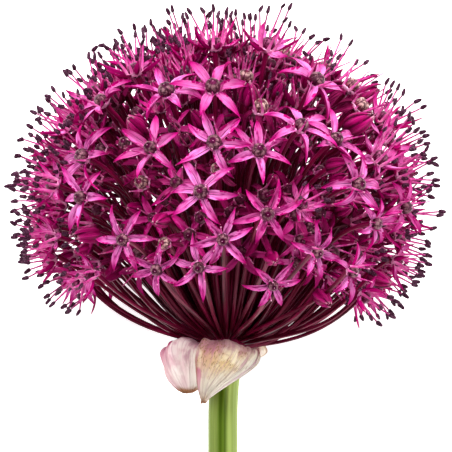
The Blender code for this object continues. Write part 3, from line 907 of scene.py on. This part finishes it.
class Grower:
    """Grows one floret into a shape, by its own seeded chance and in its own tone."""

    def __init__(self, shape, floret, cell):
        self.shape, self.floret, self.cell = shape, floret, cell
        self.rng = random.Random(1000 + floret.number)
        # The under florets get the darker tones, as painted shade for how deep they sit; the outer
        # ones' tones differ at random.
        self.tone = self.rng.uniform(*((0.35, 1) if floret.under else (0, 0.5)))
        self.centre, self.axis = stand(floret)
        self.place = LAID @ floret_frame(floret, self.centre, self.axis)
        for turn_about in "XY":
            self.place @= Matrix.Rotation(radians(self.rng.gauss(0, 8)), 4, turn_about)
        self.place @= Matrix.Scale(head_size(floret, self.rng), 4)

    def grow(self):
        """The pedicel and everything on the head, each on its part of the map."""
        first, part = len(self.shape.places), self.cell.part
        self.pedicel(part(0.9, 0, 1, 1))
        for index in range(6):
            self.tepal(index, part(0.15 * index, 0, 0.15 * (index + 1), 0.6))
        body_cell = part(0, 0.6, 0.3, 1)
        if self.floret.kind == "bud":
            self.body(BUD_HEART, "bud", body_cell)
        else:
            self.ovary(body_cell)
            self.body(HUB, "filament", part(0.3, 0.6, 0.36, 1))
            self.style(part(0.36, 0.6, 0.4, 1))
            self.stamens()
        lay_on_surface(self.shape.places[first:])

    def tube(self, points, radii, sides, skin, cell, reach=1, lobed=False):
        """A closed tube, along which the organ grows up to its reach."""
        rings = tube_rings(points, radii, sides, lobed)
        along = [reach * row / (len(points) - 1) for row in range(len(points))]
        self.shape.loft(rings, from_seam(sides), along, self.tone, [skin] * sides, cell)

    def body(self, profile, skin, cell):
        """A round body turned from its profile."""
        place, angles = self.place @ Matrix.Scale(MM, 4), turns(BODY_SIDES)
        rings = [[place @ round_axis(angle, *row[:2]) for angle in angles] for row in profile]
        across, along = [0.5] * BODY_SIDES, [row[2] for row in profile]
        self.shape.loft(rings, across, along, self.tone, [skin] * BODY_SIDES, cell)

    def pedicel(self, cell):
        """The stalk, from inside the dome to the hub, thicker at the hub."""
        normal = dome_normal(self.floret.direction)
        foot = normal * (DOME_RADIUS - 0.6 * MM) - UP * ROOT_DROP
        head = self.centre - self.axis * (HUB_DROP + 0.4 * MM)
        span = (head - foot).length
        aside = self.axis.cross(normal) * span * self.rng.gauss(0, 0.02)
        lowness = within(-2.4 * self.floret.direction.z)
        arrival = (self.axis + UP * LOW_BEND * lowness).normalized()
        leaving, arriving = normal * span * 0.42 + aside, arrival * span * 0.34 + aside
        control = (foot, foot + leaving, head - arriving, head)
        rows, sides, thickness = (12, 5, 0.4) if self.floret.under else (16, 7, 0.5)
        points, radii = [], []
        for t in shares(rows):
            points.append(LAID @ bezier(control, t))
            radii.append((thickness + 0.1 * t + 2.2 * max(0, t - 0.9)) * MM)
        self.tube(points, radii, sides, "pedicel", cell)

    def tepal(self, index, cell):
        """One of the six tepals, a channelled blade that thins to its margins."""
        rng, kind = self.rng, self.floret.kind
        _, half_width, face, back = TEPALS[kind]
        line = tepal_line(kind, rng)
        half_width *= rng.uniform(0.88, 1.08)
        twist = radians(rng.gauss(0, 6 if kind == "bud" else 30))
        ripple = rng.uniform(0, 2 * pi)
        channel = rng.uniform(0.3, 0.95)
        turn = Matrix.Rotation(radians(60 * index + rng.gauss(0, 3)), 4, "Z")
        layer = TEPAL_LAYER if index % 2 else 0
        carry = self.place @ Matrix.Translation((0, 0, layer - HUB_DROP)) @ turn
        along = [0.02 + 0.97 * t for t in shares(6 if self.floret.under else 10)]
        rings = []
        for t in along:
            ahead = (bezier(line, t + 0.01) - bezier(line, t - 0.01)).normalized()
            side = Vector((0, 1, 0)) - ahead * ahead.y
            side.normalize()
            side.rotate(Matrix.Rotation(twist * t, 3, ahead))
            up = ahead.cross(side)
            half = half_width * MM * tepal_width(t, kind)
            bent = half * channel * (1 + 2 * max(0, t - 0.75))
            rises = []
            for x in TEPAL_TOP:
                waving = half * 0.2 * abs(x) * sin(7 * t + ripple + x)
                rises.append(bent * x * x - 0.12 * half * (x == 0) + waving)
            for x in TEPAL_UNDER:
                rises.append(bent * x * x - TEPAL_THICKNESS * (1 - x * x))
            points = zip(TEPAL_TOP + TEPAL_UNDER, rises)
            middle = bezier(line, t)
            rings.append([carry @ (middle + side * (half * x) + up * rise) for x, rise in points])
        skins = [face] * (len(TEPAL_TOP) - 1) + [back] * (len(TEPAL_UNDER) + 1)
        self.shape.loft(rings, TEPAL_TOP + TEPAL_UNDER, along, self.tone, skins, cell)

    def ovary(self, cell):
        """A round body in six lobes, with a shallow pit at its top."""
        kind, under = self.floret.kind, self.floret.under
        skin = {"star": "old_ovary", "spent": "seed_ovary"}.get(kind, "ovary")
        sides, rows = (18, 6) if under else (24, 9)
        wide = OVARY_RADIUS * self.rng.uniform(0.9, 1.06)
        lobes = [abs(sin(3 * around)) for around in turns(sides)]
        rings = []
        for t in shares(rows):
            angle = radians(-68 + 144 * t)
            ring = []
            for around, lobe in zip(turns(sides), lobes):
                out = wide * cos(angle) ** 0.7 * (0.9 + 0.1 * lobe**0.6)
                up = OVARY_RISE * sin(angle) * (0.96 + 0.04 * lobe)
                up -= PIT_DEPTH * exp(-((out / PIT_RADIUS) ** 2)) * (t > 0.5)
                ring.append(self.place @ round_axis(around, out, up))
            rings.append(ring)
        skins = ["old_ovary" if under else skin] * sides
        self.shape.loft(rings, lobes, shares(rows), self.tone, skins, cell)

    def style(self, cell):
        """The thread at the top of the ovary, short on an older floret."""
        gauss = self.rng.gauss
        length = 2.6 * MM if self.floret.kind == "open" else 1 * MM
        lean = Vector((gauss(0, 0.15), gauss(0, 0.15), 1)).normalized()
        foot = UP * 1.3 * MM
        points = [self.place @ (foot + lean * length * t) for t in shares(4)]
        self.tube(points, STYLE_RADII, THREAD_SIDES, "filament", cell)

    def stamens(self):
        """Six stamens, shorter and without anthers on the older florets."""
        bare = self.floret.kind != "open"
        for index in range(6):
            share = self.rng.uniform(0.84, 1.1) * (0.8 if bare else 1)
            if bare and self.rng.random() < 0.62:
                share *= self.rng.uniform(0.12, 0.35)
            left, right = 0.4 + 0.035 * index, 0.4 + 0.035 * (index + 1)
            points = self.filament(index, share, bare, self.cell.part(left, 0.6, right, 1))
            if not bare:
                self.anther(points, self.cell.part(0.61, 0.6, 0.9, 1).tile(index, 3, 2))

    def filament(self, index, share, bare, cell):
        """Grows a thread that leans out from the hub, and returns its line."""
        gauss = self.rng.gauss
        lean = radians(STAMEN_LEAN - 3 + gauss(0, 6))
        length = STAMEN_LENGTH * share
        out = round_axis(radians(60 * index + 30 + gauss(0, 6)), 1, 0)
        foot = (out * 1.85 - UP) * MM
        ahead = out * sin(lean) + UP * cos(lean)
        stray = Vector((gauss(0, 1), gauss(0, 1), 0)) * 0.08 * length
        tip = foot + ahead * length + stray
        leaving = (out * 0.35 + UP) * length * 0.3
        arriving = (ahead + stray / length) * length * 0.35
        control = (foot, foot + leaving, tip - arriving, tip)
        along = shares(5 if self.floret.under else 7)
        points = [self.place @ bezier(control, t) for t in along]
        thin = 0.16 * MM if bare else 0.23 * MM
        radii = [thin + 0.36 * MM * (1 - t) ** 2.2 for t in along]
        reach = 1 if bare and share > 0.6 else 0.88
        self.tube(points, radii, THREAD_SIDES, "filament", cell, reach)
        return points

    def anther(self, points, cell):
        """An anther, nodding a little its own way."""
        gauss = self.rng.gauss
        nod = Vector((gauss(0, 0.3), gauss(0, 0.3), gauss(0, 0.2)))
        along = ((points[-1] - points[-2]).normalized() + nod).normalized()
        half = ANTHER_LENGTH * self.rng.uniform(0.5, 0.64)
        spine, radii = [], []
        for k, girth in enumerate(ANTHER_GIRTHS):
            spine.append(points[-1] + along * (half * (0.6 - cos(radians(20 + 28 * k)))))
            radii.append(ANTHER_RADIUS * girth * self.rng.uniform(0.92, 1.08))
        sides = 6 if self.floret.under else 8
        self.tube(spine, radii, sides, "anther", cell, lobed=True)


def lay_on_surface(places):
    """Bends what would reach under the surface up on to it."""
    soft = 0.8 * MM
    for place in places:
        if place.z < soft:
            place.z = soft * exp((place.z - soft) / soft)


# ---- pieces

def keep(piece, slot, *nodes):
    """Hangs a piece on the body and hides the nodes it replaces. Its slot is not used."""
    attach(piece, "root")
    if nodes:
        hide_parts(*nodes)


BANDS = 12
BAND_COLUMNS = 4  # of florets, on a band's map


def build_florets():
    """A piece for each floret of the model, and bands of those that it leaves out."""
    materials = floret_materials()
    others = []
    outer = layout()
    for floret in outer + under_layer(outer):
        if floret.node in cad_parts:
            shape = Shape()
            Grower(shape, floret, Cell()).grow()
            slot = "bud" if floret.kind == "bud" else "floret"
            keep(shape.piece(f"{floret.node}_grown", materials), slot, floret.node)
        else:
            others.append(floret)
    others.sort(key=lambda floret: -floret.direction.z)
    for number in range(BANDS):
        band = others[number * len(others) // BANDS:(number + 1) * len(others) // BANDS]
        rows = ceil(len(band) / BAND_COLUMNS)
        shape = Shape()
        for index, floret in enumerate(band):
            Grower(shape, floret, Cell().tile(index, BAND_COLUMNS, rows)).grow()
        keep(shape.piece(f"florets_band_{number + 1:02d}", materials), "floret")


STEM_SIDES, STEM_ROWS = 72, 40
NECK = 0.84  # how far along the stem's outline its dome starts
FLARE_START = 0.86  # and how far along the stem below that it starts to widen
DOME_ROW = round(0.78 * STEM_ROWS)  # the first row in the pedicels' colour
STEM_TONE = 0.3


def sway(below):
    """How far the stem stands to the left at a depth below the receptacle."""
    share = within(below / SWAY_LENGTH)
    return STEM_SWAY * share * share * (3 - 2 * share)


def stem_profile(t):
    """Radius and height on the stem from its cut end, t 0, to the top of its dome."""
    if t < NECK:
        s = t / NECK
        flare = max(0, s - FLARE_START) / (1 - FLARE_START)
        rim = -0.25 * MM * (s == 0)
        return STEM_RADIUS + 1.5 * MM * flare**1.6 + rim, STEM_LENGTH * (s - 1) - ROOT_DROP
    angle = radians(88) * (t - NECK) / (1 - NECK)
    return DOME_RADIUS * cos(angle), DOME_RADIUS * sin(angle) - ROOT_DROP


def stem_ring(t):
    """The stem's ribbed outline at t along it, flat where it lies on the surface."""
    radius, height = stem_profile(t)
    aside = Vector((sway(-ROOT_DROP - height), 0, 0))
    ring = []
    for angle in turns(STEM_SIDES):
        rib = cos(18 * angle + 0.8 * sin(9 * t)) + 0.6 * cos(7 * angle + 1)
        place = LAID @ (round_stem(angle, radius * (1 + 0.016 * rib), height) - aside)
        place.z = max(place.z, 0)
        ring.append(place)
    return ring


def build_stem():
    """The ribbed stem with its cut end, and the dome at its top."""
    shape = Shape()
    along = shares(STEM_ROWS)
    rings = [stem_ring(t) for t in along]
    skins, cell = ["stem"] * STEM_SIDES, Cell(0.02, 0.02, 0.98, 0.98)
    shape.loft(rings, from_seam(STEM_SIDES), along, STEM_TONE, skins, cell)
    for index, face in enumerate(shape.faces):
        if len(face) == 3 and min(face) < STEM_SIDES:
            shape.skins[index] = "cut"
        elif min(face) >= STEM_SIDES * DOME_ROW:
            shape.skins[index] = "dome"
    materials = {"stem": stem_skin(), "cut": cut_face(), "dome": pedicel_skin()}
    keep(shape.piece("stem_grown", materials, sharp=30), "stem", "flower_stem")


SHEET_ACROSS, SHEET_ALONG = 44, 36  # cells
SHEET_THICKNESS = 0.28 * MM
SHEET_END = 0.995  # just short of the lobe's tip


def crown(across):
    """How much higher the right lobe's crest stands at its left."""
    hump = 2.2 * exp(-((across + 0.38) / 0.42) ** 2)
    return hump - 1.1 * max(0, across) - 2 * max(0, -across - 0.6)


def crumple(name, across, along):
    """How far the paper stands off its plain surface, by its folds and crinkles."""
    folding, crinkling, left, right = LOBES[name].crumpling
    seed = list(LOBES).index(name) * 7.3
    inside = sin(pi * min(1, along * 1.05))
    if right < 0:
        inside *= within(0.9 - 1.6 * across, 0.1)
    fold = folding * sin(5.5 * across + 2.2 * along + seed) * inside
    crease = abs(noise.noise(Vector((across * 3.2 + seed, along * 2.6, seed))))
    crinkle = (1.5 * crease - 0.3) * crinkling * inside
    fine = noise.noise(Vector((across * 9 + seed, along * 5, seed + 5))) * 0.35
    ruffle = 0.4 * across**4 * sin(17 * along + 3 * across + seed) * inside
    edges = left * max(0, -across) ** 4 + right * max(0, across)
    if name == "spathe_right":
        edges += crown(across) * max(0, 1 - along / 0.6)
    return (fold + crinkle + fine + ruffle + edges) * MM


def build_lobe(name):
    """A lobe of the spathe, as thin crumpled paper."""
    lobe, tone = LOBES[name], list(LOBES).index(name) / 3
    shape = Shape()
    for along in shares(SHEET_ALONG + 1):
        for right in shares(SHEET_ACROSS + 1):
            across = 2 * right - 1
            place = lobe.point(across, min(along, SHEET_END), crumple(name, across, along))
            shape.places.append(LAID @ place)
            shape.grown.append((across, along, tone))
    wide = SHEET_ACROSS + 1
    for row in range(SHEET_ALONG):
        for column in range(SHEET_ACROSS):
            corner = row * wide + column
            face = (corner, corner + 1, corner + wide + 1, corner + wide)
            corners = [(k % wide / SHEET_ACROSS, k // wide / SHEET_ALONG) for k in face]
            shape.add(face, "paper", *corners)
    piece = shape.piece(f"{name}_sheet", {"paper": papery(f"{name}_paper", *lobe.paper)})
    shell = piece.modifiers.new("thickness", "SOLIDIFY")
    shell.thickness = SHEET_THICKNESS
    shell.offset = 0
    keep(piece, "spathe", name)


# ---- the studio

CAMERA_DISTANCE = 2.5
VIEW_WIDTH = 124.8 * MM  # what the view takes in, side to side, at the umbel
VIEW_DROP = 2.4 * MM  # its middle below the umbel's, along the stem
FLOOR_REACH = 4  # the floor's edges from the middle
FLOOR_DROP = 0.02 * MM
ROOM_GLOW = 0.22
LIGHT_SIZE = 0.5
LIGHTS = {  # places round the upright flower, and watts
    "left_box": ((-0.55, -0.95, 0.45), 8.8),
    "right_box": ((0.85, -0.65, 0.1), 4.4),
    "top_box": ((0.1, -0.5, 1), 13),
}


def build_floor():
    far = FLOOR_REACH
    mesh = bpy.data.meshes.new("floor")
    corners = [(-far, -far, 0), (far, -far, 0), (far, far, 0), (-far, far, 0)]
    mesh.from_pydata(corners, [], [(0, 1, 2, 3)])
    mesh.materials.append(studio_floor())
    floor = placed("floor", mesh)
    floor.location.z = -FLOOR_DROP


def build_camera():
    """A long lens that looks square at the lying flower's front."""
    data = bpy.data.cameras.new("camera")
    data.lens = data.sensor_width * CAMERA_DISTANCE / VIEW_WIDTH
    data.clip_start, data.clip_end = 0.1, 20
    camera = placed("camera", data)
    toward_front, upward = LYING @ Vector((0, -1, 0)), LYING @ UP
    camera.location = LAID @ (UP * -VIEW_DROP) + toward_front * CAMERA_DISTANCE
    across = upward.cross(toward_front)
    camera.rotation_euler = Matrix((across, upward, toward_front)).transposed().to_euler()
    SCENE.camera = camera


def build_lights():
    """A soft light at the left, a fill at the right and one over the top."""
    for name, (place, power) in LIGHTS.items():
        data = bpy.data.lights.new(name, "AREA")
        data.shape, data.size, data.energy = "DISK", LIGHT_SIZE, power
        lamp = placed(name, data)
        lamp.location = LAID @ Vector(place)
        inwards = LAID.translation - lamp.location
        lamp.rotation_euler = inwards.to_track_quat("-Z", "Y").to_euler()


def build_room():
    world = bpy.data.worlds.new("room")
    world.use_nodes = True
    background = world.node_tree.nodes["Background"].inputs
    background["Color"].default_value = (1, 1, 1, 1)
    background["Strength"].default_value = ROOM_GLOW
    SCENE.world = world
    SCENE.view_settings.view_transform = "Standard"


build_florets()
build_stem()
for lobe_name in LOBES:
    build_lobe(lobe_name)
build_floor()
build_camera()
build_lights()
build_room()
